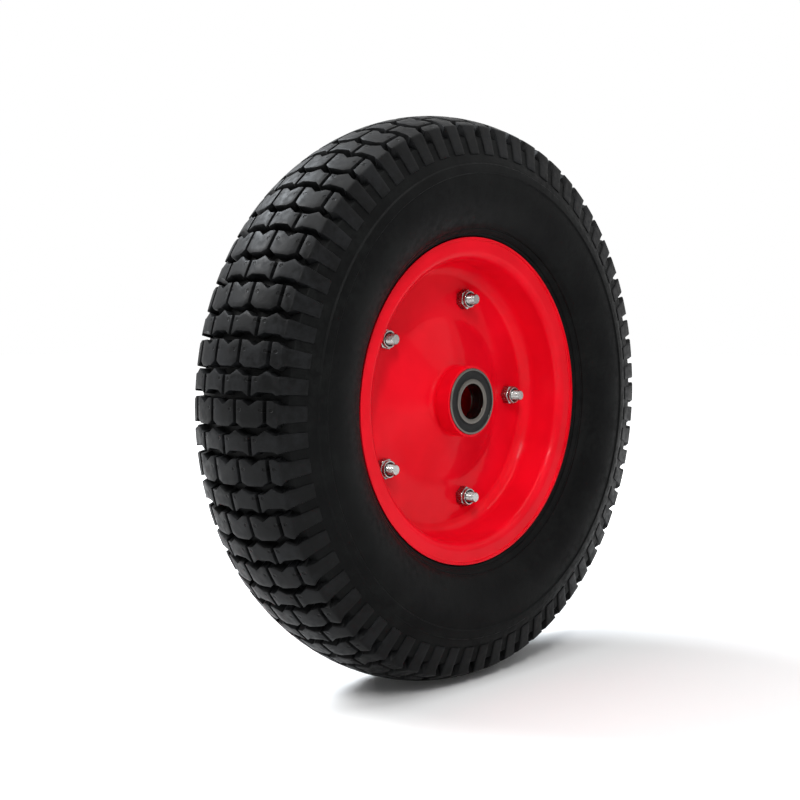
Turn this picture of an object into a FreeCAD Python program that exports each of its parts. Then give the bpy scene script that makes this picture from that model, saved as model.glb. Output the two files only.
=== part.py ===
import FreeCAD, Part
import math
import os

# Pneumatic barrow wheel: block-tread tyre and tube on a split pressed-steel rim
# that turns on two sealed ball bearings.
# Millimetres. The axle lies along Y, +Z is up and the wheel's middle is the origin.
# The two rim halves meet on the plane y = 0. The nuts are on the near side, -Y.

# Tyre
tyre_radius = 201.0
crown_radius = 85.0
tread_half_width = 39.3
tread_depth = 7.0
crown_wall = 5.5
crown_straight = 3.3
shoulder_round = 2.5
ground_flat_depth = 1.2

# Tread pattern
pitch_count = 34
block_length = 13.0
slot_spacing = 10.6
slot_width = 2.4
zigzag_shift = 1.75
tread_phase_deg = -0.6
block_root = 2.0
floor_inset = 2.3
floor_bend = 3.0
floor_foot_radius = 181.0

# Shoulder bars, which run down the sidewall between comma-shaped grooves
bar_start = 43.0
bar_half_length = 7.4
bar_height = 0.9
bar_short_end = 44.35
bar_long_end = 44.75
bar_foot_radius = 173.2
bar_root_radius = 172.5

# Sidewall and beads
section_half_width = 49.6
sidewall_middle_radius = 150.0
sidewall_radius = 48.6
sidewall_wall = 5.0
ridge_inner_radius = 160.0
ridge_outer_radius = 165.6
ridge_height = 0.9
crown_half_width = 26.0
crown_foot_radius = 171.0
bead_width = 14.75
bead_height = 6.0
bead_gap = 0.1
lip_gap = 0.3

# Rim halves, pressed from sheet
sheet = 1.6
rim_width = 63.5
bead_seat_radius = 101.9
seat_taper_deg = 3.0
flange_radius = 115.4
lip_length = 2.75
flange_bend = 5.0
lip_bend = 2.2
well_bend = 12.0
dish_radius = 62.0
dish_angle_deg = 18.0
dish_bend = 30.0
neck_bend = 6.0
neck_step = 1.6
collar_short = 0.9

# Bearings
bearing_bore = 25.0
bearing_outside = 47.0
bearing_width = 12.0
hub_length = 63.0
ball_count = 10
ball_diameter = 6.6
ball_circle = 36.0
race_clearance = 0.04
inner_land = 31.8
outer_land = 40.4
seal_outside = 43.7
seal_thickness = 1.0
seal_inset = 0.35
seal_lip_gap = 0.08
seal_recess = 0.25
bearing_round = 0.6
cage_wall = 1.1
cage_back = 4.2
cage_front = 2.2
cage_pocket_gap = 0.08
seat_clearance = 0.01

# Rim bolts, washers and lock nuts
bolt_count = 5
bolt_circle_radius = 76.0
bolt_diameter = 8.0
bolt_length = 20.0
bolt_hole_diameter = 8.6
head_across_flats = 13.0
head_height = 5.3
washer_outside = 16.0
washer_thickness = 1.6
nut_height = 8.0
nut_hex_height = 5.6
nut_collar_diameter = 12.2
nut_collar_wall = 0.55
nut_collar_lip = 0.5
nut_lip_thickness = 0.45
nut_turn_deg = 12.0
tip_chamfer = 0.8
thread_gap = 0.05

# Inner tube and valve
tube_wall = 2.0
tube_gap = 0.3
valve_angle_deg = 252.0
valve_lean_deg = 25.0
valve_hole_diameter = 12.0
stem_root_diameter = 11.4
stem_root_length = 6.0
stem_top_diameter = 8.6
stem_length = 27.0
stem_foot = 9.0
bond_gap = 0.02
insert_diameter = 7.7
insert_bore = 5.2
insert_start = 3.0
insert_beyond_stem = 11.0
core_length = 13.0
core_bore = 2.0
core_depth = 0.8
pin_diameter = 1.5
pin_seal_diameter = 3.6
pin_seal_thickness = 1.0
pin_seal_gap = 0.05
pin_above_core = 0.6
cap_outside = 10.2
cap_length = 11.0
cap_skirt = 9.0
fit_gap = 0.05

# Places worked out from the sizes above
axis_point = FreeCAD.Vector(0, 0, 0)
axis_y = FreeCAD.Vector(0, 1, 0)
row_count = 2 * pitch_count
row_angle = 360.0 / row_count
crown_centre = tyre_radius - crown_radius
floor_corner = tread_half_width - floor_inset
cavity_depth = tread_depth + crown_wall
flange_plane = rim_width / 2
lip_plane = flange_plane + lip_length
taper = math.tan(math.radians(seat_taper_deg))
seat_radius_middle = bead_seat_radius - flange_plane * taper
toe_y = -(flange_plane - bead_width)
toe_radius = seat_radius_middle - toe_y * taper + bead_gap
bearing_face = hub_length / 2
bearing_middle = bearing_face - bearing_width / 2
housing_radius = bearing_outside / 2 + seat_clearance
ball_radius = ball_diameter / 2
race_radius = ball_radius + race_clearance
under_head = sheet + washer_thickness
tube_bottom = toe_radius + tube_gap + 0.1
insert_end = stem_length + insert_beyond_stem
core_end = insert_end - core_depth
core_start = core_end - core_length


# Helpers
def point(radius, y):
    return FreeCAD.Vector(radius, y, 0)


def edges_through(corners, closed=False):
    """Straight runs with a tangent arc at each corner that has a bend radius."""
    places = [FreeCAD.Vector(c[0], c[1], 0) for c in corners]
    bends = [c[2] if len(c) > 2 else 0 for c in corners]
    count = len(places)
    inner = range(count) if closed else range(1, count - 1)
    starts = list(places)
    ends = list(places)
    arcs = {}
    for i in inner:
        if bends[i] == 0:
            continue
        back = (places[i - 1] - places[i]).normalize()
        ahead = (places[(i + 1) % count] - places[i]).normalize()
        half = back.getAngle(ahead) / 2
        reach = bends[i] / math.tan(half)
        middle = (back + ahead).normalize()
        centre = places[i] + middle * (bends[i] / math.sin(half))
        starts[i] = places[i] + back * reach
        ends[i] = places[i] + ahead * reach
        arcs[i] = Part.Arc(starts[i], centre - middle * bends[i], ends[i]).toShape()
    edges = []
    for i in range(count):
        if i in arcs:
            edges.append(arcs[i])
        last = i == count - 1
        if last and not closed:
            break
        following = starts[(i + 1) % count]
        if (following - ends[i]).Length > 1e-6:
            edges.append(Part.LineSegment(ends[i], following).toShape())
    return edges


def straight(*places):
    return [Part.LineSegment(a, b).toShape() for a, b in zip(places, places[1:])]


def arc(start, middle, end):
    return Part.Arc(start, middle, end).toShape()


def mirrored(edges):
    return [edge.mirror(axis_point, axis_y) for edge in edges]


def section(edges):
    """Face inside a closed run of edges, given in any order."""
    return Part.Face(Part.Wire(Part.__sortEdges__(edges)))


def turned(corners, angle=360.0):
    """Solid turned about the axle from a closed section of (radius, y, bend)."""
    return section(edges_through(corners, closed=True)).revolve(axis_point, axis_y, angle)


def far_copy(shape):
    return shape.mirror(axis_point, axis_y)


def about_axle(shape, degrees):
    """Copy turned about the axle, counted from +X towards +Z."""
    copy = shape.copy()
    copy.rotate(axis_point, axis_y, -degrees)
    return copy


def rod(radius, y_from, y_to):
    return Part.makeCylinder(radius, y_to - y_from, point(0, y_from), axis_y)


def save(name, shape):
    if not shape.isValid():
        print("not valid:", name)
    solids = len(shape.Solids)
    print(f"{name}: {solids} solid(s), {len(shape.Faces)} faces, {shape.Volume / 1000:.2f} cm3")
    shape.exportStep(os.path.join("parts", name + ".step"))


# Rim halves
def rim_half():
    """Near half: bearing collar, neck, dished disc, well, bead seat, flange and lip."""
    mouth = -(bearing_face - collar_short)
    stop = -(bearing_face - bearing_width - seat_clearance)
    neck = housing_radius - neck_step
    neck_y = -(dish_radius - neck) * math.tan(math.radians(dish_angle_deg))
    route = [
        (housing_radius, mouth),
        (housing_radius, stop, 0.3),
        (neck, stop, 0.4),
        (neck, neck_y, neck_bend),
        (dish_radius, 0, dish_bend),
        (seat_radius_middle, 0, well_bend),
        (bead_seat_radius, -flange_plane, flange_bend),
        (flange_radius, -flange_plane, lip_bend),
        (flange_radius, -lip_plane),
    ]
    centre_line = Part.Wire(edges_through(route))
    strip = centre_line.makeOffset2D(sheet, fill=True, openResult=True)
    disc = Part.Face(strip.Wires[0]).revolve(axis_point, axis_y, 360)
    holes = at_bolts(rod(bolt_hole_diameter / 2, -2 * sheet, sheet))
    return disc.cut(Part.makeCompound(holes))


# Tyre
def crown_point(y, depth):
    """Point on the crown arc, a depth below the tread's surface."""
    return point(crown_centre + math.sqrt((crown_radius - depth) ** 2 - y**2), y)


def crown_slope(y, depth):
    return math.tan(math.asin(y / (crown_radius - depth)))


def side_point(radius, depth=0.0):
    """Point on the near sidewall's round, a depth inside its surface."""
    round_centre = section_half_width - sidewall_radius
    reach = math.sqrt((sidewall_radius - depth) ** 2 - (radius - sidewall_middle_radius) ** 2)
    return point(radius, -(round_centre + reach))


def side_arc(first, last, depth=0.0):
    middle = side_point((first + last) / 2, depth)
    return arc(side_point(first, depth), middle, side_point(last, depth))


def crown_arc(arc_end, depth):
    return arc(crown_point(-arc_end, depth), crown_point(0, depth), crown_point(arc_end, depth))


def shoulder_route(arc_end, corner_y, depth, bend, foot):
    """Near side from the crown: its tangent, the rounded shoulder and the flank to the foot."""
    start = crown_point(-arc_end, depth)
    drop = (corner_y - arc_end) * crown_slope(arc_end, depth)
    corner = (start.x - drop, -corner_y, bend)
    return edges_through([(start.x, start.y), corner, (foot.x, foot.y)])


def carcass(angle):
    """Part turn of the tyre below its grooves: floor, sidewalls, ridges, beads and cavity."""
    floor_end = floor_corner - floor_bend - 1.0
    floor_foot = side_point(floor_foot_radius)
    edges = shoulder_route(floor_end, floor_corner, tread_depth, floor_bend, floor_foot)
    edges.append(side_arc(floor_foot_radius, ridge_outer_radius + ridge_height))
    edges += straight(
        side_point(ridge_outer_radius + ridge_height),
        side_point(ridge_outer_radius, -ridge_height),
        side_point(ridge_inner_radius, -ridge_height),
        side_point(ridge_inner_radius - ridge_height),
    )
    lip_side = flange_radius + lip_gap
    flange_side = -(flange_plane - bead_gap)
    leave = side_point(lip_side + 2.4)
    inner_foot = side_point(lip_side + 3.5, sidewall_wall)
    edges.append(side_arc(ridge_inner_radius - ridge_height, leave.x))
    bead = [
        (leave.x, leave.y),
        (lip_side, -lip_plane - 0.6, 1.0),
        (lip_side, flange_side, lip_bend + lip_gap),
        (bead_seat_radius + bead_gap, flange_side, flange_bend),
        (toe_radius, toe_y, 1.0),
        (toe_radius + bead_height, toe_y - 1.2, 3.0),
        (inner_foot.x, inner_foot.y),
    ]
    edges += edges_through(bead)
    edges.append(side_arc(inner_foot.x, crown_foot_radius, sidewall_wall))
    cavity_edge = crown_point(-crown_half_width, cavity_depth)
    edges += straight(side_point(crown_foot_radius, sidewall_wall), cavity_edge)
    edges += mirrored(edges)
    edges.append(crown_arc(floor_end, tread_depth))
    edges.append(crown_arc(crown_half_width, cavity_depth))
    return section(edges).revolve(axis_point, axis_y, angle)


def tread_band():
    """Ring that the blocks are cut from: full tread and shoulder, rooted in the carcass."""
    arc_end = tread_half_width - crown_straight
    foot = side_point(bar_foot_radius, -bar_height)
    inner_end = arc_end - 6.0
    root_depth = tread_depth + block_root
    edges = shoulder_route(arc_end, tread_half_width, 0, shoulder_round, foot)
    edges += straight(
        foot,
        side_point(bar_root_radius),
        side_point(bar_root_radius, block_root),
        crown_point(-inner_end, root_depth),
    )
    edges += mirrored(edges)
    edges.append(crown_arc(arc_end, 0))
    edges.append(crown_arc(inner_end, root_depth))
    return section(edges).revolve(axis_point, axis_y, 360)


def zigzag(y):
    """Shift of the lateral grooves along the tread at a distance y from its middle."""
    steps = abs(y) / slot_spacing
    whole = math.floor(steps)
    along = steps - whole
    share = along if whole % 2 == 1 else 1 - along
    return zigzag_shift * (2 * share - 1)


def block_prism(sides):
    """Prism through the tread at the wheel's top, from a list of (y, half length, shift)."""
    leading = [FreeCAD.Vector(-shift - half, y, 0) for y, half, shift in sides]
    trailing = [FreeCAD.Vector(-shift + half, y, 0) for y, half, shift in reversed(sides)]
    outline = leading + trailing
    face = Part.Face(Part.makePolygon(outline + outline[:1]))
    foot = bar_root_radius - 3 * block_root
    face.translate(FreeCAD.Vector(0, 0, foot))
    return face.extrude(FreeCAD.Vector(0, 0, tyre_radius + block_root - foot))


def chevron_block(y_from, y_to):
    """Block between two slots, bent at its middle into a chevron."""
    places = [y_from + slot_width / 2, (y_from + y_to) / 2, y_to - slot_width / 2]
    return block_prism([(y, block_length / 2, zigzag(y)) for y in places])


def shoulder_block(y_from, bar_end):
    """Block from the last slot over the shoulder and down the sidewall as a widening bar."""
    half = block_length / 2
    start = y_from + slot_width / 2
    bends = [start]
    bend = y_from + slot_spacing
    while bend < tread_half_width - 1.0:
        bends.append(bend)
        bend += slot_spacing
    bends.append(tread_half_width)
    sides = [(y, half, zigzag(y)) for y in bends]
    sides.append((bar_start, bar_half_length, 0))
    sides.append((bar_end, bar_half_length, 0))
    return block_prism(sides)


def block_row(band, slots, bar_end):
    """One row across the tread, cut from the band at the wheel's top."""
    places = [i * slot_spacing for i in slots]
    prisms = [chevron_block(a, b) for a, b in zip(places, places[1:])]
    outer = shoulder_block(places[-1], bar_end)
    prisms += [outer, far_copy(outer)]
    return band.common(Part.makeCompound(prisms)).Solids


def tyre():
    """Carcass and blocks, with the small flat that the tyre stands on."""
    band = tread_band()
    rows = [
        block_row(band, (-2, 0, 2), bar_long_end),
        block_row(band, (-3, -1, 1, 3), bar_short_end),
    ]
    parts_of_turn = 2 - pitch_count % 2
    share = 360 / parts_of_turn
    blocks = []
    for i in range(row_count // parts_of_turn):
        blocks += [about_axle(solid, (i + 0.5) * row_angle) for solid in rows[i % 2]]
    one = about_axle(carcass(share), share + 90).multiFuse(blocks)
    whole = one
    for i in range(1, parts_of_turn):
        whole = whole.fuse(about_axle(one, i * share))
    whole = about_axle(whole, 90 + tread_phase_deg - row_angle / 2)
    side = 2 * tyre_radius
    corner = FreeCAD.Vector(-tyre_radius, -tyre_radius, ground_flat_depth - tyre_radius - side)
    return whole.cut(Part.makeBox(side, side, side, corner))


# Inner tube
def inner_tube(valve_bore):
    """Closed hollow ring that fills the cavity and bridges the well."""
    depth = sidewall_wall + tube_gap
    foot = side_point(flange_radius + 5.6, depth)
    crown_edge = crown_point(-crown_half_width, cavity_depth + tube_gap)
    edges = [side_arc(foot.x, crown_foot_radius, depth)]
    edges += straight(side_point(crown_foot_radius, depth), crown_edge)
    flank = [
        (foot.x, foot.y),
        (toe_radius + bead_height + tube_gap, toe_y - 0.85, 3.0),
        (tube_bottom, toe_y + 0.45, 2.0),
        (tube_bottom, 0),
    ]
    edges += edges_through(flank)
    edges += mirrored(edges)
    edges.append(crown_arc(crown_half_width, cavity_depth + tube_gap))
    outside = Part.Wire(Part.__sortEdges__(edges))
    inside = outside.makeOffset2D(-tube_wall)
    wall = Part.Face(outside).cut(Part.Face(inside))
    ring = wall.Faces[0].revolve(axis_point, axis_y, 360)
    return ring.cut(valve_bore)


# Valve, turned about its own axis and then set in its hole in the far half
def on_valve(shape):
    """Shape whose axis is Y, set on the valve's line with y = 0 at the rim's surface."""
    lean = math.radians(valve_lean_deg)
    well_centre = seat_radius_middle + well_bend * (taper - 1 / math.cos(math.atan(taper)))
    radius = well_centre + well_bend * math.cos(lean)
    base = point(radius, well_bend * (1 - math.sin(lean)))
    direction = FreeCAD.Vector(-math.cos(lean), math.sin(lean), 0)
    placed = shape.copy()
    placed.Placement = FreeCAD.Placement(base, FreeCAD.Rotation(axis_y, direction))
    return about_axle(placed, valve_angle_deg)


def tube_of(outside, bore, y_from, y_to, edge=0.0):
    """Round tube along Y, with its outer edges rounded."""
    corners = [(bore / 2, y_from), (outside / 2, y_from, edge), (outside / 2, y_to, edge), (bore / 2, y_to)]
    return turned(corners)


def valve_stem():
    """Tapered rubber stem, bonded to the tube at its foot and to the insert inside it."""
    seat = insert_diameter / 2 + bond_gap
    profile = [
        (insert_bore / 2, -stem_foot),
        (stem_root_diameter / 2, -stem_foot),
        (stem_root_diameter / 2, stem_root_length, 6.0),
        (stem_top_diameter / 2, stem_length, 1.0),
        (seat, stem_length),
        (seat, insert_start - bond_gap),
        (insert_bore / 2, insert_start - bond_gap),
    ]
    inside_tube = rod(tube_bottom - bond_gap, -section_half_width, section_half_width)
    return on_valve(turned(profile)).common(inside_tube)


def valve_pin():
    """Pin through the core with its seal below, shut against the core's lower end."""
    seal_top = core_start - pin_seal_gap
    profile = [
        (0, seal_top - pin_seal_thickness),
        (pin_seal_diameter / 2, seal_top - pin_seal_thickness),
        (pin_seal_diameter / 2, seal_top),
        (pin_diameter / 2, seal_top),
        (pin_diameter / 2, core_end + pin_above_core),
        (0, core_end + pin_above_core),
    ]
    return on_valve(turned(profile))


def valve_cap():
    bore = insert_diameter / 2 + fit_gap
    roof = insert_end + fit_gap
    foot = roof - cap_skirt
    profile = [
        (bore, foot),
        (cap_outside / 2, foot, 0.4),
        (cap_outside / 2, foot + cap_length, 1.2),
        (0, foot + cap_length),
        (0, roof),
        (bore, roof),
    ]
    return on_valve(turned(profile))


# Bearings, modelled round y = 0 with their outer side towards -Y
def outer_ring():
    land = outer_land / 2
    half = bearing_width / 2
    rebate = seal_outside / 2 + seat_clearance
    rebate_floor = half - seal_inset - seal_thickness - seat_clearance
    groove = math.sqrt(race_radius**2 - (land - ball_circle / 2) ** 2)
    route = [
        (land, groove),
        (land, rebate_floor),
        (rebate, rebate_floor),
        (rebate, half),
        (bearing_outside / 2, half, bearing_round),
        (bearing_outside / 2, -half, bearing_round),
        (rebate, -half),
        (rebate, -rebate_floor),
        (land, -rebate_floor),
        (land, -groove),
    ]
    race = arc(point(land, -groove), point(ball_circle / 2 + race_radius, 0), point(land, groove))
    return section(edges_through(route) + [race]).revolve(axis_point, axis_y, 360)


def inner_ring():
    land = inner_land / 2
    half = bearing_width / 2
    groove = math.sqrt(race_radius**2 - (ball_circle / 2 - land) ** 2)
    route = [
        (land, groove),
        (land, half, bearing_round / 2),
        (bearing_bore / 2, half, bearing_round),
        (bearing_bore / 2, -half, bearing_round),
        (land, -half, bearing_round / 2),
        (land, -groove),
    ]
    race = arc(point(land, -groove), point(ball_circle / 2 - race_radius, 0), point(land, groove))
    return section(edges_through(route) + [race]).revolve(axis_point, axis_y, 360)


def outer_seal():
    """Flat rubber seal with a shallow ring-shaped recess in its face."""
    lip = inner_land / 2 + seal_lip_gap
    rim = seal_outside / 2
    face = seal_inset - bearing_width / 2
    profile = [
        (lip, face + seal_thickness),
        (lip, face),
        (lip + 1.0, face),
        (lip + 1.3, face + seal_recess),
        (rim - 1.3, face + seal_recess),
        (rim - 1.0, face),
        (rim, face),
        (rim, face + seal_thickness),
    ]
    return turned(profile)


def at_balls(shape):
    shape.translate(point(ball_circle / 2, 0))
    return [about_axle(shape, i * 360 / ball_count) for i in range(ball_count)]


def cage():
    """Crown cage: a ring with a round pocket for each ball, open towards the outer side."""
    middle = ball_circle / 2
    ring = tube_of(2 * (middle + cage_wall), 2 * (middle - cage_wall), -cage_front, cage_back)
    pocket = Part.makeSphere(ball_radius + cage_pocket_gap, axis_point, FreeCAD.Vector(1, 0, 0))
    pockets = at_balls(pocket)
    return ring.cut(Part.makeCompound(pockets))


def near_bearing(shape):
    copy = shape.copy()
    copy.translate(point(0, -bearing_middle))
    return copy


# Fasteners, modelled on the axle's line and then set on the bolt circle
def at_bolts(shape, turn=0.0):
    copies = []
    for i in range(bolt_count):
        copy = about_axle(shape, i * turn)
        copy.translate(point(bolt_circle_radius, 0))
        copies.append(about_axle(copy, i * 360 / bolt_count))
    return copies


def hexagon(across_flats, y_from, y_to):
    """Hexagonal prism along Y whose corners are turned off at both ends."""
    reach = across_flats / math.sqrt(3)
    angles = [math.radians(60 * i) for i in range(7)]
    corners = [FreeCAD.Vector(reach * math.cos(a), y_from, reach * math.sin(a)) for a in angles]
    prism = Part.Face(Part.makePolygon(corners)).extrude(FreeCAD.Vector(0, y_to - y_from, 0))
    flat = 0.95 * across_flats / 2
    drop = (reach - flat) * math.tan(math.radians(30))
    envelope = turned([
        (0, y_from),
        (flat, y_from),
        (reach, y_from + drop),
        (reach, y_to - drop),
        (flat, y_to),
        (0, y_to),
    ])
    return prism.common(envelope)


def rim_bolt():
    radius = bolt_diameter / 2
    tip = under_head - bolt_length
    shank = turned([
        (0, tip),
        (radius - tip_chamfer, tip),
        (radius, tip + tip_chamfer),
        (radius, under_head + 1.0),
        (0, under_head + 1.0),
    ])
    return shank.fuse(hexagon(head_across_flats, under_head, under_head + head_height))


def lock_nut():
    """Hexagon with a thin round collar whose lip is turned in over the nylon ring."""
    top = -sheet - nut_height
    shoulder = -sheet - nut_hex_height
    collar = nut_collar_diameter / 2
    inside = collar - nut_collar_wall
    body = hexagon(head_across_flats, shoulder, -sheet).fuse(rod(collar, top, shoulder + 1.0))
    body = body.cut(rod(bolt_diameter / 2 + thread_gap, top, -sheet))
    body = body.cut(rod(inside, top + nut_lip_thickness, shoulder))
    return body.cut(rod(inside - nut_collar_lip, top, shoulder))


def nut_ring():
    top = -sheet - nut_height + nut_lip_thickness + fit_gap
    inside = nut_collar_diameter / 2 - nut_collar_wall - fit_gap
    bore = bolt_diameter + 2 * thread_gap
    return tube_of(2 * inside, bore, top, -sheet - nut_hex_height - fit_gap)


# Pieces
os.makedirs("parts", exist_ok=True)

near_half = rim_half()
valve_hole = on_valve(rod(valve_hole_diameter / 2, -6.0, 6.0))
save("near_rim_half", near_half)
save("far_rim_half", far_copy(near_half).cut(valve_hole))

save("tyre", tyre())
save("inner_tube", inner_tube(on_valve(rod(insert_bore / 2, -stem_foot, 0))))
save("valve_stem", valve_stem())
save("valve_insert", on_valve(tube_of(insert_diameter, insert_bore, insert_start, insert_end, 0.3)))
core_outside = insert_bore - 2 * fit_gap
save("valve_core", on_valve(tube_of(core_outside, core_bore, core_start, core_end)))
save("valve_pin", valve_pin())
save("valve_cap", valve_cap())

bearing = {
    "outer_ring": outer_ring(),
    "inner_ring": inner_ring(),
    "balls": Part.makeCompound(at_balls(Part.makeSphere(ball_radius))),
    "cage": cage(),
    "outer_seal": outer_seal(),
    "inner_seal": far_copy(outer_seal()),
}
for name, shape in bearing.items():
    save("near_" + name, near_bearing(shape))
    save("far_" + name, far_copy(near_bearing(shape)))

washer = tube_of(washer_outside, bolt_hole_diameter, sheet, under_head)
save("rim_bolts", Part.makeCompound(at_bolts(rim_bolt(), nut_turn_deg)))
save("head_washers", Part.makeCompound(at_bolts(washer)))
save("lock_nuts", Part.makeCompound(at_bolts(lock_nut(), nut_turn_deg)))
save("nut_rings", Part.makeCompound(at_bolts(nut_ring())))
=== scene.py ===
# %% [markdown]
# # A barrow wheel with a block-tread tyre
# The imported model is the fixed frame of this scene: every node sits where the wheel's drawing
# puts it, in metres, with the axle along Y. Its nodes give the places and the sizes, and the
# cells below give each visible surface the shape and the finish of the real wheel.

# %% Load the fixed frame
import math

import bmesh
import bpy
from mathutils import Matrix, Vector


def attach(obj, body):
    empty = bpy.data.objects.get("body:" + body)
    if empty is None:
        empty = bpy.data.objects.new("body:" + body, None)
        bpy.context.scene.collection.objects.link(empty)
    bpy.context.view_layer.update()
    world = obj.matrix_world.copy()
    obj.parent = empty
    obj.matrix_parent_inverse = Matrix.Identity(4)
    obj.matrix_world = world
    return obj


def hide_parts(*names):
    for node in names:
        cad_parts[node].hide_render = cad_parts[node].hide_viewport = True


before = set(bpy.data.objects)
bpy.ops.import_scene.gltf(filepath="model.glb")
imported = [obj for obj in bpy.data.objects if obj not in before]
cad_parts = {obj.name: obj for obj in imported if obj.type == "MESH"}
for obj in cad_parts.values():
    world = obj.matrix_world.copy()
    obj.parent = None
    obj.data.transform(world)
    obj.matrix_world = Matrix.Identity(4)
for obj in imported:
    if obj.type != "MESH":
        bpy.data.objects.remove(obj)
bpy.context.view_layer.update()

# %% [markdown]
# ## Four small helpers
# Nearly everything on a wheel is round, so one helper turns a section about the axle with the
# spin operator. A section is a list of radius and distance along the axle, in millimetres, and
# a third number rounds a corner. Hard corners stay crisp and round walls stay smooth when
# every edge that folds by more than about thirty degrees is marked sharp. Shapes that belong
# to one piece are joined through a mesh that is thrown away again.

# %% Helpers for sections and pieces
MM = 0.001


def bent(corners, closed=True, steps=5):
    """Section with an arc of the given radius at each corner that has one."""
    places = [Vector((c[0], c[1])) for c in corners]
    count = len(places)
    line = []
    for i, corner in enumerate(corners):
        here = places[i]
        radius = corner[2] if len(corner) > 2 else 0
        if radius == 0 or (not closed and i in (0, count - 1)):
            line.append(here)
            continue
        back = (places[i - 1] - here).normalized()
        ahead = (places[(i + 1) % count] - here).normalized()
        half = back.angle(ahead) / 2
        start = here + back * (radius / math.tan(half))
        end = here + ahead * (radius / math.tan(half))
        centre = here + (back + ahead).normalized() * (radius / math.sin(half))
        for k in range(steps + 1):
            share = k / steps
            spoke = (start - centre).lerp(end - centre, share).normalized()
            line.append(centre + spoke * radius)
    return [(p.x, p.y) for p in line]


def spun(mesh, section, closed=True, steps=192):
    """Turn a section of (radius, y) about the axle inside an open bmesh."""
    verts = [mesh.verts.new((r * MM, y * MM, 0)) for r, y in section]
    pairs = list(zip(verts, verts[1:]))
    if closed:
        pairs.append((verts[-1], verts[0]))
    edges = [mesh.edges.new(pair) for pair in pairs]
    bmesh.ops.spin(
        mesh, geom=verts + edges, cent=(0, 0, 0), axis=(0, 1, 0),
        angle=math.tau, steps=steps, use_merge=True, use_duplicate=False,
    )


def join(mesh, part):
    """Move one bmesh's shape into another."""
    data = bpy.data.meshes.new("part")
    part.to_mesh(data)
    part.free()
    mesh.from_mesh(data)
    bpy.data.meshes.remove(data)


def piece(mesh, name, body, material, nodes=(), fold=32):
    """Close a bmesh into an object that rides on a body and stands for its nodes."""
    bmesh.ops.remove_doubles(mesh, verts=mesh.verts[:], dist=1e-6)
    bmesh.ops.recalc_face_normals(mesh, faces=mesh.faces[:])
    for face in mesh.faces:
        face.smooth = True
    for edge in mesh.edges:
        edge.smooth = edge.calc_face_angle(0) < math.radians(fold)
    data = bpy.data.meshes.new(name)
    mesh.to_mesh(data)
    mesh.free()
    made = bpy.data.objects.new(name, data)
    bpy.context.collection.objects.link(made)
    data.materials.append(material)
    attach(made, body)
    if nodes:
        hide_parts(*nodes)
    print(name, len(data.polygons), "faces")


# %% [markdown]
# ## Finishes
# Each finish is a small node tree that reads Object coordinates, so its grain has a real size
# and stays put when the wheel turns. One helper starts every tree: it makes the shader and sets
# its plain numbers. What varies over the surface, such as noise and bump, is then wired in.

# %% A helper for node trees
class Finish:
    """A material with a few short calls for the nodes this wheel needs."""

    def __init__(self, name, color, roughness, metallic=0.0):
        self.material = bpy.data.materials.new(name)
        self.material.use_nodes = True
        self.tree = self.material.node_tree
        self.shader = self.tree.nodes["Principled BSDF"]
        self.set(**{"Base Color": (*color, 1), "Roughness": roughness, "Metallic": metallic})
        self.place = self.node("ShaderNodeTexCoord").outputs["Object"]
        print("finish:", name)

    def set(self, **values):
        for socket, value in values.items():
            self.shader.inputs[socket].default_value = value

    def node(self, kind, **settings):
        made = self.tree.nodes.new(kind)
        for key, value in settings.items():
            setattr(made, key, value)
        return made

    def link(self, out, socket):
        self.tree.links.new(out, socket)

    def feed(self, out, socket):
        """Wire a value into one of the shader's own sockets."""
        self.link(out, self.shader.inputs[socket])

    def fed_by(self, socket):
        """What is already wired into one of the shader's own sockets."""
        return self.shader.inputs[socket].links[0].from_socket

    def noise(self, scale, detail=3.0, rough=0.5, place=None):
        made = self.node("ShaderNodeTexNoise")
        made.inputs["Scale"].default_value = scale
        made.inputs["Detail"].default_value = detail
        made.inputs["Roughness"].default_value = rough
        self.link(place or self.place, made.inputs["Vector"])
        return made.outputs["Fac"]

    def ramp(self, fac, low, high, start=0.3, end=0.7):
        """Low before the start, high after the end, and a smooth change between them."""
        made = self.node("ShaderNodeMapRange", interpolation_type="SMOOTHSTEP")
        self.link(fac, made.inputs["Value"])
        ends = {"From Min": start, "From Max": end, "To Min": low, "To Max": high}
        for socket, value in ends.items():
            made.inputs[socket].default_value = value
        return made.outputs["Result"]

    def blend(self, fac, first, second):
        made = self.node("ShaderNodeMix", data_type="RGBA")
        self.link(fac, made.inputs["Factor"])
        for socket, value in (("A", first), ("B", second)):
            target = [s for s in made.inputs if s.name == socket and s.type == "RGBA"][0]
            if isinstance(value, tuple):
                target.default_value = (*value, 1)
            else:
                self.link(value, target)
        return [s for s in made.outputs if s.type == "RGBA"][0]

    def math(self, operation, first, second=None, third=None):
        made = self.node("ShaderNodeMath", operation=operation)
        for i, value in enumerate((first, second, third)):
            if value is None:
                continue
            if isinstance(value, (int, float)):
                made.inputs[i].default_value = value
            else:
                self.link(value, made.inputs[i])
        return made.outputs[0]

    def bump(self, height, strength, distance, after=None):
        made = self.node("ShaderNodeBump")
        made.inputs["Strength"].default_value = strength
        made.inputs["Distance"].default_value = distance
        self.link(height, made.inputs["Height"])
        if after is not None:
            self.link(after, made.inputs["Normal"])
        self.feed(made.outputs["Normal"], "Normal")
        return made.outputs["Normal"]


# %% [markdown]
# ### Tyre rubber
# New tyre rubber is nearly black, with a satin skin that the mould leaves and a thin grey
# bloom that lies unevenly on the raised blocks. Two sizes of noise do it: a broad one shifts
# the colour and the gloss, and a fine one roughens the skin.

# %% Rubber of the tyre
CLEAN_RUBBER = (0.0022, 0.0023, 0.0024)


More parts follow.
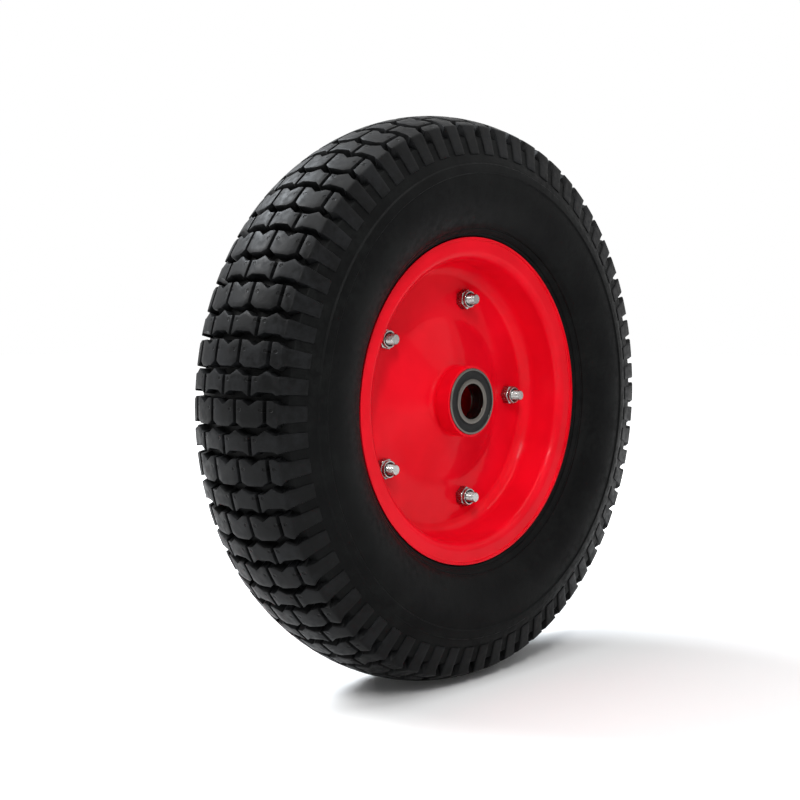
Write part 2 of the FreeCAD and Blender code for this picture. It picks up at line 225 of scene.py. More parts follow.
def tyre_finish(name, bloom):
    """Nearly black rubber with patches of the given bloom on it."""
    finish = Finish(name, CLEAN_RUBBER, 0.5)
    finish.set(**{"Specular IOR Level": 0.045})
    broad = finish.noise(38, 4)
    smear = finish.noise(210, 5, 0.6)
    mixed = finish.math("MULTIPLY", broad, smear)
    patch = finish.ramp(mixed, 0.0, 1.0, 0.16, 0.42)
    finish.feed(finish.blend(patch, CLEAN_RUBBER, bloom), "Base Color")
    finish.feed(finish.ramp(smear, 0.40, 0.60, 0.35, 0.68), "Roughness")
    skin = finish.bump(finish.noise(1500, 3), 0.22, 0.0002)
    finish.bump(finish.noise(160, 4), 0.25, 0.0006, skin)
    return finish


carcass_rubber = tyre_finish("sidewall_rubber", (0.0052, 0.0056, 0.0055)).material

# %% [markdown]
# ### Tread rubber
# The blocks carry small round pits near their slots and a short nick in the slot's wall, left
# by the mould's pins. They are too small to model three hundred times, so each block keeps a
# flat map of itself in millimetres, and the finish sinks a spot on that map with a bump and
# paints shade into it as a near-black colour.

# %% Rubber of the tread blocks
PIT_MIDDLE, PIT_ACROSS, PIT_ALONG = 0.75, 7.35, 2.4
NICK_ALONG, NICK_START = 1.9, 7.8


def tread_finish():
    finish = tyre_finish("tread_rubber", (0.0075, 0.0079, 0.0086))
    finish.set(**{"Specular IOR Level": 0.08})
    block_map = finish.node("ShaderNodeUVMap", uv_map="block_map").outputs["UV"]
    split = finish.node("ShaderNodeSeparateXYZ")
    finish.link(block_map, split.inputs["Vector"])
    along, across = split.outputs["X"], split.outputs["Y"]

    off_middle = finish.math("ABSOLUTE", finish.math("SUBTRACT", across, PIT_MIDDLE))
    side = finish.math("SUBTRACT", off_middle, PIT_ACROSS)
    shift = finish.math("ADD", along, PIT_ALONG)
    squares = [finish.math("MULTIPLY", value, value) for value in (side, shift)]
    from_pit = finish.math("POWER", finish.math("ADD", *squares), 0.5)
    pit = finish.ramp(from_pit, 0.9, 0.0, 0.8, 1.3)

    from_nick = finish.math("ABSOLUTE", finish.math("ADD", along, NICK_ALONG))
    nick = finish.math(
        "MULTIPLY", finish.ramp(from_nick, 1.0, 0.0, 0.5, 0.8),
        finish.ramp(across, 0.0, 1.0, NICK_START, NICK_START + 0.3),
    )
    hole = finish.math("MAXIMUM", pit, nick)
    finish.bump(finish.math("SUBTRACT", 1.0, hole), 1.0, 0.0012, finish.fed_by("Normal"))
    # Painted shade: the pits and the nick get a near-black colour as well as their bump.
    painted_pit_shade = finish.blend(hole, finish.fed_by("Base Color"), (0.001, 0.001, 0.001))
    finish.feed(painted_pit_shade, "Base Color")
    return finish.material


tread_rubber = tread_finish()

# %% [markdown]
# ### Red powder coat
# The rim halves are pressed steel with a thick gloss coat. Under the lamps it shows a saturated
# red body, a clear gloss over it, and a fine orange peel that breaks the reflections up.

# %% Paint of the rim
RED, DEEP_RED = (0.78, 0.0035, 0.015), (0.67, 0.0025, 0.011)


def paint_finish():
    finish = Finish("red_powder_coat", RED, 0.32)
    finish.set(**{"Coat Weight": 0.10, "Coat Roughness": 0.03, "Coat IOR": 1.5})
    finish.set(**{"Specular IOR Level": 0.02})
    cloud = finish.ramp(finish.noise(22, 3), 0.0, 1.0, 0.3, 0.7)
    finish.feed(finish.blend(cloud, RED, DEEP_RED), "Base Color")
    peel = finish.bump(finish.noise(420, 2), 0.10, 0.0003)
    wave = finish.bump(finish.noise(60, 2), 0.16, 0.0012, peel)
    finish.feed(wave, "Coat Normal")
    return finish.material


red_paint = paint_finish()

# %% [markdown]
# ### Bright metals
# The nuts and studs are zinc plated, which is bright but slightly grained. The bearing rings
# are ground round their axis, so their grain runs in circles: a noise that is read through the
# radius alone makes fine rings.

# %% Zinc plate, ground steel, polished steel and brass
def metal_finish(name, color, low, high, grain):
    """Bare metal whose gloss runs from low to high with a fine grain."""
    finish = Finish(name, color, low, 1.0)
    patch = finish.noise(grain, 4)
    finish.feed(finish.ramp(patch, low, high), "Roughness")
    cloud = finish.ramp(finish.noise(grain / 5, 3), 0, 1)
    tint = tuple(0.8 * c for c in color)
    finish.feed(finish.blend(cloud, color, tint), "Base Color")
    finish.bump(patch, 0.12, 0.0001)
    return finish.material


def ground_finish():
    finish = Finish("ground_steel", (0.10, 0.092, 0.083), 0.24, 1.0)
    parts = finish.node("ShaderNodeSeparateXYZ")
    finish.link(finish.place, parts.inputs["Vector"])
    squares = [finish.math("MULTIPLY", parts.outputs[a], parts.outputs[a]) for a in "XZ"]
    radius = finish.math("POWER", finish.math("ADD", *squares), 0.5)
    ring_place = finish.node("ShaderNodeCombineXYZ")
    finish.link(radius, ring_place.inputs["X"])
    finish.link(parts.outputs["Y"], ring_place.inputs["Y"])
    rings = finish.noise(9000, 2, 0.5, ring_place.outputs["Vector"])
    finish.feed(finish.ramp(rings, 0.16, 0.34), "Roughness")
    finish.bump(rings, 0.15, 0.00005)
    return finish.material


zinc = metal_finish("zinc_plate", (0.33, 0.325, 0.315), 0.14, 0.34, 900)
ground_steel = ground_finish()
ball_steel = metal_finish("polished_balls", (0.80, 0.80, 0.81), 0.05, 0.12, 300)
brass = metal_finish("turned_brass", (0.75, 0.56, 0.26), 0.2, 0.36, 700)

# %% [markdown]
# ### Small rubber and plastic parts
# Seals, stem, tube, cap, cage and nylon rings are plain mouldings. They share one recipe: a
# fine bump, a little gloss variation, and a body colour that wanders slightly.

# %% Mouldings
def moulded_finish(name, color, low, high, grain=1200, specular=0.5):
    """Moulded rubber or plastic with a slightly wandering colour and gloss."""
    finish = Finish(name, color, low)
    finish.set(**{"Specular IOR Level": specular})
    finish.feed(finish.ramp(finish.noise(grain / 4, 3), low, high), "Roughness")
    cloud = finish.ramp(finish.noise(90, 3), 0, 1)
    light = tuple(1.5 * c for c in color)
    finish.feed(finish.blend(cloud, color, light), "Base Color")
    finish.bump(finish.noise(grain, 3), 0.2, 0.0001)
    return finish.material


seal_rubber = moulded_finish("seal_rubber", (0.004, 0.004, 0.004), 0.34, 0.5, specular=0.12)
tube_rubber = moulded_finish("tube_rubber", (0.012, 0.012, 0.012), 0.55, 0.7)
stem_rubber = moulded_finish("stem_rubber", (0.010, 0.010, 0.010), 0.4, 0.55)
cap_plastic = moulded_finish("cap_plastic", (0.010, 0.010, 0.011), 0.3, 0.42)
cage_plastic = moulded_finish("cage_plastic", (0.48, 0.42, 0.30), 0.4, 0.5)
nylon = moulded_finish("nut_nylon", (0.004, 0.004, 0.005), 0.4, 0.55, specular=0.15)
print(len(bpy.data.materials), "materials")

# %% [markdown]
# ## The tyre's carcass
# Below its blocks the tyre is one turned form: the floor of the grooves, the round sidewall
# with its raised line, two fine rings above the bead, the bead itself and the cavity for the
# tube. Half of that section is spun about the axle and then mirrored over the middle plane,
# because a tyre is the same on both sides. The sidewall is left bare.

# %% Carcass
TYRE_R, CROWN_R = 201.0, 85.0
TREAD_HALF, TREAD_DEEP = 39.3, 7.0
SIDE_R, SIDE_MIDDLE, SIDE_HALF = 48.6, 150.0, 49.6
LIP_FOOT, SLOPE_TOP = (115.55, -33.29), (124.7, -42.43)
RIDGE_HIGH, WALL = 0.9, 5.0
GROUND = -0.1998


def crown(y, depth=0.0):
    """Radius of the crown at a distance from the middle, a depth below its surface."""
    return TYRE_R - CROWN_R + math.sqrt((CROWN_R - depth) ** 2 - y * y)


def side(radius, depth=0.0):
    """Place on the near sidewall at a radius, a depth inside its surface."""
    reach = math.sqrt((SIDE_R - depth) ** 2 - (radius - SIDE_MIDDLE) ** 2)
    return (radius, -(SIDE_HALF - SIDE_R + reach))


def side_run(first, last, count, depth=0.0):
    return [side(first + (last - first) * k / count, depth) for k in range(count + 1)]


def flare(radius, depth=0.0):
    """Place on the slope that leads from the sidewall down to the rim's lip."""
    along = (radius - LIP_FOOT[0]) / (SLOPE_TOP[0] - LIP_FOOT[0])
    y = LIP_FOOT[1] + (SLOPE_TOP[1] - LIP_FOOT[1]) * along
    return (radius + 0.7 * depth, y + 0.7 * depth)


def ring_groove(radius, width=0.7, deep=0.5):
    """Fine ring sunk in that slope, walked inwards."""
    walk = ((1.0, 0.0), (0.4, deep), (-0.4, deep), (-1.0, 0.0))
    return [flare(radius + width * share, depth) for share, depth in walk]


# %% Half section of the carcass, spun and mirrored
FLOOR_HALF, ROOF_HALF = 33, 26
floor = [(crown(FLOOR_HALF * k / 12, TREAD_DEEP), -FLOOR_HALF * k / 12) for k in range(12)]
corner = bent([
    (crown(FLOOR_HALF, TREAD_DEEP), -FLOOR_HALF), (185.0, -36.2, 3.0), (183.0, -41.0, 1.5),
    (172.3, -44.1, 3.0), side(169.5),
], closed=False)
ridge = bent([
    side(165.5), side(164.6, -RIDGE_HIGH) + (0.35,), side(159.0, -RIDGE_HIGH) + (0.35,),
    side(158.1),
], closed=False, steps=3)
wall = side_run(168.6, 166.2, 3) + ridge + side_run(157, 126, 21) + [side(SLOPE_TOP[0])]
wall += ring_groove(121.2) + ring_groove(117.7)
bead = bent([
    LIP_FOOT, (115.0, -31.65, 1.2), (102.0, -31.65, 5.0),
    (101.2, -17.0, 1.0), (107.2, -18.2, 3.0), side(119.2, WALL),
], closed=False)
cavity = side_run(122, 171, 12, WALL)
roof = [(crown(y, 12.5), -y) for y in (ROOF_HALF - ROOF_HALF * k / 6 for k in range(7))]

mesh = bmesh.new()
spun(mesh, floor + corner + wall + bead + cavity + roof, closed=False, steps=204)
half = mesh.verts[:] + mesh.edges[:] + mesh.faces[:]
bmesh.ops.mirror(mesh, geom=half, axis="Y", merge_dist=1e-5)
piece(mesh, "tyre_carcass", "wheel", carcass_rubber, ["tyre"])

# %% [markdown]
# ## One tread block
# The tread is rows of blocks between zigzag grooves. A row's blocks swap places with the next
# row's, and each edge has a flat in the middle of its block and a point at the slots. A block
# starts as a flat grid. Its points are laid on the crown, or down the shoulder, the grid is
# extruded into the carcass, and its upper edges are bevelled as moulded rubber has them.

# %% Block builder
SPACING, SLOT, BLOCK_LONG, SHIFT = 10.6, 2.4, 13.0, 1.75
BLOCK_HALF, ROWS = 9.4, 68
ACROSS_BLOCK = (-BLOCK_HALF, -5.3, 0, 5.3, BLOCK_HALF)


def wave(y, offset_row):
    """Shift of a row's lower edge: flat at its blocks' middles, pointed at its slots."""
    sign = 1 if offset_row else -1
    start = 0 if offset_row else SPACING
    away = abs((abs(y) - start + SPACING) % (2 * SPACING) - SPACING)
    half = SPACING / 2
    return sign * SHIFT * (1 if away <= half else 1 - 2 * (away - half) / half)


def crown_station(y, offset_row):
    """Top and foot of a block at y, with the reach of its two long edges at both."""
    lead = BLOCK_LONG / 2 + wave(y, offset_row)
    trail = -BLOCK_LONG / 2 + wave(y, not offset_row)
    foot = (crown(y, TREAD_DEEP + 0.8), y * 0.985)
    return ((crown(y), y), foot, lead, trail, lead + 0.3, trail - 0.3)


def flank_stations(offset_row):
    """Shoulder and bar on the +Y flank, from the crown's edge to the bar's foot."""
    edge = bent([(crown(36), 36), (191.46, TREAD_HALF, 2.5), (173.2, 44.73)], closed=False, steps=3)
    tops = edge[1:5]
    tops += [(188.0, 40.33), (184.0, 41.52), (179.0, 43.0), (174.0, 44.49), (171.6, 45.1)]
    feet = [
        (185.4, 35.4), (184.9, 35.8), (184.2, 36.2), (183.4, 36.6), (182.2, 37.2),
        (181.0, 38.6), (178.0, 40.6), (173.6, 42.2), (171.4, 42.8),
    ]
    halves = [6.5, 6.4, 6.2, 5.9, 5.5, 5.2, 5.0, 4.75, 4.6]
    made = []
    for i, (top, foot, half) in enumerate(zip(tops, feet, halves)):
        waving = 1 - min(1.0, i / 4)
        lead = half + wave(TREAD_HALF, offset_row) * waving
        trail = -half + wave(TREAD_HALF, not offset_row) * waving
        made.append((top, foot, lead, trail, lead + 0.25, trail - 0.25))
    return made


def block(stations, middle, map_end=99, columns=4):
    """Closed block at the wheel's top; increasing angle is towards -X there.

    Its map runs outwards from the middle, and no further than map_end.
    """
    mesh = bmesh.new()
    rows = len(stations) - 1
    outward = 1 if middle >= 0 else -1
    bmesh.ops.create_grid(mesh, x_segments=columns, y_segments=rows, size=0.5)
    flat = mesh.loops.layers.uv.new("block_map")
    place = {}
    for vert in mesh.verts:
        share = round((vert.co.x + 0.5) * columns) / columns
        row = round((vert.co.y + 0.5) * rows)
        (top_r, top_y), (foot_r, foot_y), lead, trail, foot_lead, foot_trail = stations[row]
        reach = trail + (lead - trail) * share
        wide = foot_trail + (foot_lead - foot_trail) * share
        top = Vector((-reach, top_y, math.sqrt(top_r ** 2 - reach ** 2)))
        foot = Vector((-wide, foot_y, math.sqrt(foot_r ** 2 - wide ** 2)))
        place[vert] = (top, foot, (reach, min((top_y - middle) * outward, map_end)))
    for face in mesh.faces:
        for loop in face.loops:
            loop[flat].uv = place[loop.vert][2]
    tops = list(place)
    key = {tuple(round(c, 5) for c in vert.co): vert for vert in tops}
    made = bmesh.ops.extrude_face_region(mesh, geom=mesh.faces[:])
    for vert in [g for g in made["geom"] if isinstance(g, bmesh.types.BMVert)]:
        source = key[tuple(round(c, 5) for c in vert.co)]
        vert.co = place[source][1] * MM
    for vert in tops:
        vert.co = place[vert][0] * MM
    bmesh.ops.recalc_face_normals(mesh, faces=mesh.faces[:])
    upper = set(tops)
    rim = [
        edge for edge in mesh.edges
        if (edge.verts[0] in upper or edge.verts[1] in upper)
        and edge.calc_face_angle(0) > math.radians(38)
    ]
    bmesh.ops.bevel(
        mesh, geom=rim, offset=0.35 * MM, offset_type="OFFSET", segments=2,
        profile=0.5, affect="EDGES", material=-1, clamp_overlap=True,
    )
    return mesh


sample = block([crown_station(y, True) for y in ACROSS_BLOCK], 0)
print("a block has", len(sample.faces), "faces")
sample.free()

# %% [markdown]
# ## The rows
# Two kinds of row alternate sixty-eight times: one has a slot on the middle line, the other has
# a block there. Each kind is built once at the top of the wheel and then spun round in copies.
# Where the tyre stands, its blocks are pressed flat.

# %% Tread
TREAD_PHASE, OUTER_MAP_END = -0.6, 5.0


def row_of_blocks(offset_row):
    """All blocks of one row in one bmesh."""
    row = bmesh.new()
    row.loops.layers.uv.new("block_map")
    slots = (-3, -1, 1, 3) if offset_row else (-2, 0, 2)
    blocks = []
    for first, last in zip(slots, slots[1:]):
        middle = (first + last) / 2 * SPACING
        stations = [crown_station(middle + d, offset_row) for d in ACROSS_BLOCK]
        blocks.append(block(stations, middle))
    start = slots[-1] * SPACING + SLOT / 2
    ys = [y for y in (start, 26.5, 31.8, 36.0) if y >= start]
    stations = [crown_station(y, offset_row) for y in ys] + flank_stations(offset_row)
    outer = block(stations, start + BLOCK_HALF, OUTER_MAP_END)
    blocks.append(outer.copy())
    bmesh.ops.transform(outer, matrix=Matrix.Scale(-1, 4, (0, 1, 0)), verts=outer.verts[:])
    bmesh.ops.reverse_faces(outer, faces=outer.faces[:])
    blocks.append(outer)
    for one in blocks:
        join(row, one)
    return row


mesh = bmesh.new()
mesh.loops.layers.uv.new("block_map")
copies = ROWS // 2
for offset_row in (False, True):
    row = row_of_blocks(offset_row)
    first = 90 + TREAD_PHASE + (0 if offset_row else 360 / ROWS)
    turn = Matrix.Rotation(-math.radians(first), 3, "Y")
    bmesh.ops.rotate(row, verts=row.verts[:], cent=(0, 0, 0), matrix=turn)
    bmesh.ops.spin(
        row, geom=row.verts[:] + row.edges[:] + row.faces[:], cent=(0, 0, 0),
        axis=(0, 1, 0), angle=math.tau * (copies - 1) / copies, steps=copies - 1,
        use_duplicate=True, use_merge=False,
    )
    join(mesh, row)
for vert in mesh.verts:
    vert.co.z = max(vert.co.z, GROUND)
piece(mesh, "tread_blocks", "wheel", tread_rubber, ["tyre"], fold=30)

# %% [markdown]
# ## Rim halves
# Each half is pressed from one sheet: collar for the bearing, neck, dished disc, well, bead
# seat, flange and a turned lip. The route of the sheet's face is offset by the sheet's
# thickness into a closed section, so that the edges of the sheet show their true thickness,
# and that section is spun. The far half is its mirror image.

# %% Rim halves
SHEET = 1.6
RIM_ROUTE = [
    (23.51, -30.6), (23.51, -19.49, 0.3), (21.91, -19.49, 0.4), (21.91, -13.03, 6.0),
    (62.0, 0, 30.0), (100.236, 0, 12.0), (101.9, -31.75, 5.0), (115.4, -31.75, 2.2), (115.4, -34.5),
]


def sheet_outline(route, thickness, steps=10):
    """Closed section of a bent sheet: its route and the same route offset to one side."""
    face = bent(route, closed=False, steps=steps)
    other = []
    for i, here in enumerate(face):
        before = Vector(face[max(i - 1, 0)])
        after = Vector(face[min(i + 1, len(face) - 1)])
        along = (after - before).normalized()
        other.append((here[0] + along.y * thickness, here[1] - along.x * thickness))
    return face + other[::-1]


for name, flip in (("near_rim_half", False), ("far_rim_half", True)):
    mesh = bmesh.new()
    outline = sheet_outline(RIM_ROUTE, SHEET)
    if flip:
        outline = [(r, -y) for r, y in outline]
    spun(mesh, outline, steps=256)
    piece(mesh, name + "_pressing", "wheel", red_paint, [name], fold=40)

# %% [markdown]
# ## Bearings
# A sealed ball bearing shows two ground rings with small rounds at their corners and a black
# rubber seal between them with a shallow moulded step. All are turned forms about the axle,
# and the far bearing has the near one's sections, turned round.

# %% Bearing rings and seals
BEARING_MIDDLE = 25.5
OUTER_RING = [
    (20.2, 2.5), (20.2, 4.64), (21.86, 4.64), (21.86, 6, 0.12), (23.5, 6, 0.6), (23.5, -6, 0.6),
    (21.86, -6, 0.12), (21.86, -4.64), (20.2, -4.64), (20.2, -2.5), (21.3, -0.8), (21.3, 0.8),
]
INNER_RING = [
    (15.9, 2.6), (15.9, 6, 0.3), (12.5, 6, 0.6), (12.5, -6, 0.6), (15.9, -6, 0.3), (15.9, -2.6),
    (14.7, -0.8), (14.7, 0.8),
]
SEAL = [
    (15.98, -4.65), (15.98, -5.65, 0.1), (16.9, -5.65, 0.12), (17.2, -5.4, 0.1), (20.5, -5.4, 0.1),
    (20.8, -5.65, 0.12), (21.85, -5.65, 0.1), (21.85, -4.65),
]
for side_name, sign in (("near", 1), ("far", -1)):
    for part, section, finish, body, slot in (
        ("outer_ring", OUTER_RING, ground_steel, "wheel", "bearing_steel"),
        ("inner_ring", INNER_RING, ground_steel, "axle_side", "bearing_steel"),
        ("outer_seal", SEAL, seal_rubber, "wheel", "seal_rubber"),
    ):
        mesh = bmesh.new()
        line = [(r, sign * (y - BEARING_MIDDLE)) for r, y in bent(section, steps=4)]
        spun(mesh, line, steps=128)
        name = side_name + "_" + part
        piece(mesh, name + "_turned", body, finish, [name], fold=50)

# %% [markdown]
# ## Bolts, washers and lock nuts
# Five bolts pass the disc from the far side. On the near side their threaded ends stand out of
# lock nuts with a round collar over a nylon ring. The thread is cut into a plain spun stud by
# moving its points in and out along a helix of 1.25 mm pitch.

# %% Fastener shapes
BOLT_CIRCLE, BOLTS, NUT_TURN = 76.0, 5, 12.0
FLATS, SHANK_R = 13.0, 4.0


def add_turned(mesh, section, steps=40):
    """Spin a closed section into a mesh that may already hold other shapes."""
    part = bmesh.new()
    spun(part, section, steps=steps)
    bmesh.ops.remove_doubles(part, verts=part.verts[:], dist=1e-6)
    bmesh.ops.recalc_face_normals(part, faces=part.faces[:])
    join(mesh, part)


def add_hexagon(mesh, flats, y_from, y_to, soft=0.35):
    """Hexagon along Y with its end edges and corners broken by a small bevel."""
    part = bmesh.new()
    turn = Matrix.Rotation(math.radians(90), 4, "X") @ Matrix.Rotation(math.radians(30), 4, "Z")
    radius = flats / math.sqrt(3) * MM
    bmesh.ops.create_cone(
        part, cap_ends=True, cap_tris=False, segments=6, radius1=radius, radius2=radius,
        depth=(y_to - y_from) * MM, matrix=turn,
    )
    bmesh.ops.translate(part, vec=(0, (y_from + y_to) / 2 * MM, 0), verts=part.verts[:])
    bmesh.ops.bevel(
        part, geom=part.edges[:], offset=soft * MM, offset_type="OFFSET", segments=3,
        profile=0.5, affect="EDGES", material=-1, clamp_overlap=True,
    )
    join(mesh, part)


def add_threaded_stud(mesh, y_tip, y_end, radius=SHANK_R, pitch=1.25, deep=0.62, turns=48):
    """Stud whose wall follows a helix, with a chamfered tip."""
    part = bmesh.new()
    count = int((y_end - y_tip) / pitch * 8)
    line = [(0.0, y_tip), (radius - 0.8, y_tip)]
    line += [(radius, y_tip + (y_end - y_tip) * k / count) for k in range(count + 1)]
    line += [(0.0, y_end)]
    spun(part, line, closed=False, steps=turns)
    bmesh.ops.remove_doubles(part, verts=part.verts[:], dist=1e-6)
    for vert in part.verts:
        away = math.hypot(vert.co.x, vert.co.z) / MM
        if away < radius - 0.01:
            continue
        angle = math.atan2(vert.co.z, vert.co.x) / math.tau
        phase = (vert.co.y / MM / pitch + angle) % 1.0
        cut = deep * abs(2 * phase - 1)
        edge = max(0.0, 0.8 - (vert.co.y / MM - y_tip))
        scale = min(radius - cut, radius - edge) / away
        vert.co.x *= scale
        vert.co.z *= scale
    bmesh.ops.recalc_face_normals(part, faces=part.faces[:])
    join(mesh, part)


def on_bolt_circle(mesh, turn=0.0):
    """Copy a shape from the axle to each bolt's place, each turned a little further."""
    whole = bmesh.new()
    data = bpy.data.meshes.new("one")
    mesh.to_mesh(data)
    mesh.free()
    for i in range(BOLTS):
        one = bmesh.new()
        one.from_mesh(data)
        own = Matrix.Rotation(-math.radians(turn * i), 4, "Y")
        out = Matrix.Translation((BOLT_CIRCLE * MM, 0, 0))
        round_axle = Matrix.Rotation(-math.tau * i / BOLTS, 4, "Y")
        bmesh.ops.transform(one, matrix=round_axle @ out @ own, verts=one.verts[:])
        join(whole, one)
    bpy.data.meshes.remove(data)
    return whole


# %% [markdown]
# ### Bolts and washers
# A bolt is a threaded end, a plain shank and a hexagon head. The threaded end begins inside
# the shank, so that the two read as one turned bar. The head's edges are broken by a bevel.

# %% Bolts with their threads
mesh = bmesh.new()
add_threaded_stud(mesh, -15.2, -1.0)
add_turned(mesh, bent([(0.01, -1.2), (SHANK_R, -1.2), (SHANK_R, 3.3), (0.01, 3.3)]))
add_hexagon(mesh, FLATS, 3.2, 8.5, 0.45)
bolts = on_bolt_circle(mesh, NUT_TURN)
piece(bolts, "bolts_threaded", "wheel", zinc, ["rim_bolts"], fold=28)

mesh = bmesh.new()
washer = [(4.3, 1.6), (8.0, 1.6, 0.2), (8.0, 3.2, 0.2), (4.3, 3.2)]
add_turned(mesh, bent(washer, steps=2), steps=64)
washers = on_bolt_circle(mesh)
piece(washers, "washers_turned", "wheel", zinc, ["head_washers"], fold=40)

# %% [markdown]
# ### Lock nuts
# A lock nut is a hexagon with a thin round collar on it, and the collar holds a black nylon
# ring that grips the thread. The collar and the ring are small turned forms.

# %% Lock nuts and their nylon rings
mesh = bmesh.new()
add_hexagon(mesh, FLATS, -7.2, -1.6, 0.4)
collar = [
    (4.06, -6.6), (4.06, -7.1), (5.55, -7.1), (5.55, -9.15), (5.05, -9.15, 0.1),
    (5.05, -9.6, 0.1), (6.1, -9.6, 0.4), (6.1, -6.6),
]
add_turned(mesh, bent(collar, steps=4), steps=64)
nuts = on_bolt_circle(mesh, NUT_TURN)
piece(nuts, "nuts_with_collar", "wheel", zinc, ["lock_nuts"], fold=28)

mesh = bmesh.new()
ring = [(4.05, -7.25), (5.5, -7.25), (5.5, -9.1, 0.2), (4.05, -9.1, 0.3)]
add_turned(mesh, bent(ring, steps=3), steps=64)
piece(on_bolt_circle(mesh), "nylon_rings", "wheel", nylon, ["nut_rings"], fold=40)

# %% [markdown]
# ## Valve
# The valve leaves the far half's well towards the axle: a tapered rubber stem, a brass tube and
# a black cap with fine grips. Each is turned about its own line and then set in its place,
# and every fourth column of the cap's points is drawn in to make the grips.

# %% Valve pieces
LEAN, VALVE_ANGLE = math.radians(25), math.radians(252)
WELL_R, WELL_BEND = 88.849, 12.0
base = Vector((WELL_R + WELL_BEND * math.cos(LEAN), WELL_BEND * (1 - math.sin(LEAN)), 0))
leaning = Vector((-math.cos(LEAN), math.sin(LEAN), 0))
lean_turn = Vector((0, 1, 0)).rotation_difference(leaning).to_matrix().to_4x4()
VALVE = Matrix.Rotation(-VALVE_ANGLE, 4, "Y") @ Matrix.Translation(base * MM) @ lean_turn


def valve_piece(mesh, name, material, node, fold=40):
    """Set a shape turned about the valve's line in its place on the wheel."""
    bmesh.ops.transform(mesh, matrix=VALVE, verts=mesh.verts[:])
    piece(mesh, name, "wheel", material, [node], fold=fold)


mesh = bmesh.new()
stem = [
    (2.6, -2.5), (5.7, -2.5), (5.7, 6.0, 6.0), (4.3, 27.0, 1.0), (3.87, 27.0), (3.87, 3.0),
    (2.6, 3.0),
]
add_turned(mesh, bent(stem, steps=6), steps=64)
valve_piece(mesh, "valve_stem_moulded", stem_rubber, "valve_stem")

mesh = bmesh.new()
tube = [(2.6, 3.0), (3.85, 3.0), (3.85, 38.0, 0.3), (2.6, 38.0)]
add_turned(mesh, bent(tube, steps=2), steps=64)
valve_piece(mesh, "valve_tube_turned", brass, "valve_insert")

mesh = bmesh.new()
cap = [
    (3.9, 29.05), (5.1, 29.05, 0.3), (5.1, 40.05, 1.2), (0.01, 40.05), (0.01, 38.05), (3.9, 38.05),
]
CAP_COLUMNS, GRIP_TOP, GRIP_SHRINK = 72, 37.8, 0.955
add_turned(mesh, bent(cap, steps=5), steps=CAP_COLUMNS)
for vert in mesh.verts:
    column = round(math.atan2(vert.co.z, vert.co.x) / math.tau * CAP_COLUMNS)
    on_wall = math.hypot(vert.co.x, vert.co.z) > 5.0 * MM and vert.co.y < GRIP_TOP * MM
    if on_wall and column % 4 == 0:
        vert.co.x *= GRIP_SHRINK
        vert.co.z *= GRIP_SHRINK
valve_piece(mesh, "valve_cap_ribbed", cap_plastic, "valve_cap", fold=50)

# %% [markdown]
# ## Pieces that keep their own shape
# Nothing shows the tube, the balls, the cages, the inner seals or the valve's core, so they
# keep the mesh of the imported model, which is true to size, and only get their finish.

# %% Finishes of the hidden nodes
KEPT = {
    "inner_tube": tube_rubber, "valve_core": brass, "valve_pin": brass,
    "near_balls": ball_steel, "far_balls": ball_steel, "near_cage": cage_plastic,
    "far_cage": cage_plastic, "near_inner_seal": seal_rubber, "far_inner_seal": seal_rubber,
}
for node, finish in KEPT.items():
    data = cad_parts[node].data
    data.materials.clear()
    data.materials.append(finish)
print(len(KEPT), "nodes kept")

# %% [markdown]
# ## Floor and backdrop
# The wheel stands on plain white paper. Camera and mirror rays see a white world, while the
# light that falls on the wheel is dimmer, so the background stays white and the red does not
# wash out. The floor glows for those rays only far from the wheel, so its shadow stays.

# %% World
WORLD_LIGHT, WORLD_TINT = 0.14, (0.96, 0.98, 1.0, 1)


def seen_directly(tree):
    """One for rays from the camera or off a shiny or clear surface, else zero."""
    path = tree.nodes.new("ShaderNodeLightPath")
    seen = path.outputs["Is Camera Ray"]
    for kind in ("Is Glossy Ray", "Is Transmission Ray"):
        either = tree.nodes.new("ShaderNodeMath")
        either.operation = "MAXIMUM"
        tree.links.new(seen, either.inputs[0])
        tree.links.new(path.outputs[kind], either.inputs[1])
        seen = either.outputs[0]
    return seen


world = bpy.data.worlds.new("studio")
bpy.context.scene.world = world
world.use_nodes = True
tree = world.node_tree
light_glow = tree.nodes["Background"]
light_glow.inputs["Color"].default_value = WORLD_TINT
light_glow.inputs["Strength"].default_value = WORLD_LIGHT
white_glow = tree.nodes.new("ShaderNodeBackground")
white_glow.inputs["Color"].default_value = (1, 1, 1, 1)
white_glow.inputs["Strength"].default_value = 1.0
choose = tree.nodes.new("ShaderNodeMixShader")
tree.links.new(seen_directly(tree), choose.inputs[0])
tree.links.new(light_glow.outputs[0], choose.inputs[1])
tree.links.new(white_glow.outputs[0], choose.inputs[2])
tree.links.new(choose.outputs[0], tree.nodes["World Output"].inputs["Surface"])
print("world:", WORLD_LIGHT, "on the wheel, 1 as a background")

# %% Floor
FLOOR_GLOW = {"From Min": 0.30, "From Max": 0.9, "To Min": 0.02, "To Max": 0.97}
mesh = bmesh.new()
bmesh.ops.create_grid(mesh, x_segments=1, y_segments=1, size=6.0)
bmesh.ops.translate(mesh, vec=(0, 0, GROUND - 0.0002), verts=mesh.verts[:])
data = bpy.data.meshes.new("floor")
mesh.to_mesh(data)
mesh.free()
ground = bpy.data.objects.new("floor", data)
bpy.context.collection.objects.link(ground)
paper = bpy.data.materials.new("white_paper")
paper.use_nodes = True
tree = paper.node_tree
shader = tree.nodes["Principled BSDF"]
for socket, value in (
    ("Base Color", (0.93, 0.93, 0.93, 1)), ("Roughness", 0.9),
    ("Specular IOR Level", 0.1), ("Emission Color", (1, 1, 1, 1)),
):
    shader.inputs[socket].default_value = value
glow = tree.nodes.new("ShaderNodeMath")
glow.operation = "MULTIPLY"
far = tree.nodes.new("ShaderNodeVectorMath")
far.operation = "LENGTH"
tree.links.new(tree.nodes.new("ShaderNodeTexCoord").outputs["Object"], far.inputs[0])
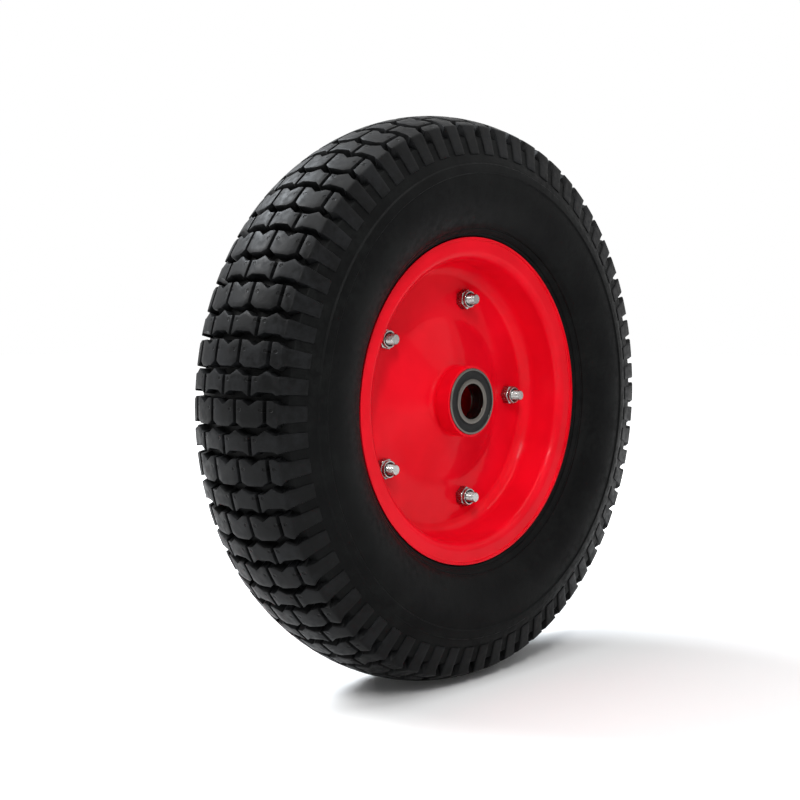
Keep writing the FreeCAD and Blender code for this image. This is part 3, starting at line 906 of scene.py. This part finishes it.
lift = tree.nodes.new("ShaderNodeMapRange")
lift.interpolation_type = "SMOOTHSTEP"
for socket, value in FLOOR_GLOW.items():
    lift.inputs[socket].default_value = value
tree.links.new(far.outputs["Value"], lift.inputs["Value"])
tree.links.new(lift.outputs["Result"], glow.inputs[1])
tree.links.new(seen_directly(tree), glow.inputs[0])
tree.links.new(glow.outputs[0], shader.inputs["Emission Strength"])
data.materials.append(paper)
print("floor at", GROUND, "m")

# %% [markdown]
# ## Lamps
# A broad soft box overhead lights the scene, and one behind it gives the grey sheen on the
# upper tread. Two panels in front light the red dish and the sidewall. Three narrow strips on
# the left are there for their reflections: they put light bands on the bends of the dish.

# %% Soft boxes
CENTRE = (0, 0, 0)


def soft_box(name, place, size, power, aim=CENTRE, color=(1, 1, 1)):
    """Rectangular lamp of a size in metres and a power in watts, aimed at a point."""
    lamp = bpy.data.lights.new(name, "AREA")
    lamp.shape = "RECTANGLE"
    lamp.size, lamp.size_y = size
    lamp.energy = power
    lamp.color = color
    made = bpy.data.objects.new(name, lamp)
    made.location = place
    made.rotation_mode = "QUATERNION"
    made.rotation_quaternion = (Vector(aim) - Vector(place)).to_track_quat("-Z", "Y")
    bpy.context.collection.objects.link(made)
    print("lamp:", name, power, "W")


soft_box("overhead", (-0.3, 0.0, 1.6), (1.6, 1.3), 24)
soft_box("behind", (-0.25, 1.05, 1.15), (1.0, 0.6), 26, (-0.05, 0, 0.1), (0.88, 0.94, 1.0))
soft_box("front", (-0.6, -1.7, 1.1), (1.2, 0.9), 4)
soft_box("right_front", (0.8, -0.9, 0.9), (0.8, 0.8), 2)
soft_box("strip_front", (-1.02, -0.93, 1.02), (0.05, 0.5), 13)
soft_box("strip_back", (-0.98, 0.80, 0.92), (0.02, 0.5), 9)
soft_box("strip_back_high", (-0.80, 0.84, 1.10), (0.02, 0.5), 9)

# %% [markdown]
# ## Camera
# The camera stands almost a metre away, low and to the left of the axle, and looks a little
# past the wheel's middle. Its place was found by fitting the rim, hub and tread to the picture.

# %% Camera
CAMERA_PLACE, CAMERA_AIM = Vector((-723.629, -637.291, 65.905)), Vector((-19.006, 20.909, -0.439))
camera_data = bpy.data.cameras.new("camera")
camera_data.sensor_width = 36
camera_data.lens = 60.163
camera = bpy.data.objects.new("camera", camera_data)
camera.location = CAMERA_PLACE * MM
look = CAMERA_AIM * MM - camera.location
camera.rotation_mode = "QUATERNION"
camera.rotation_quaternion = look.to_track_quat("-Z", "Y")
bpy.context.collection.objects.link(camera)
bpy.context.scene.camera = camera
bpy.context.scene.view_settings.view_transform = "Standard"
print("camera", round(look.length, 3), "m from its aim")
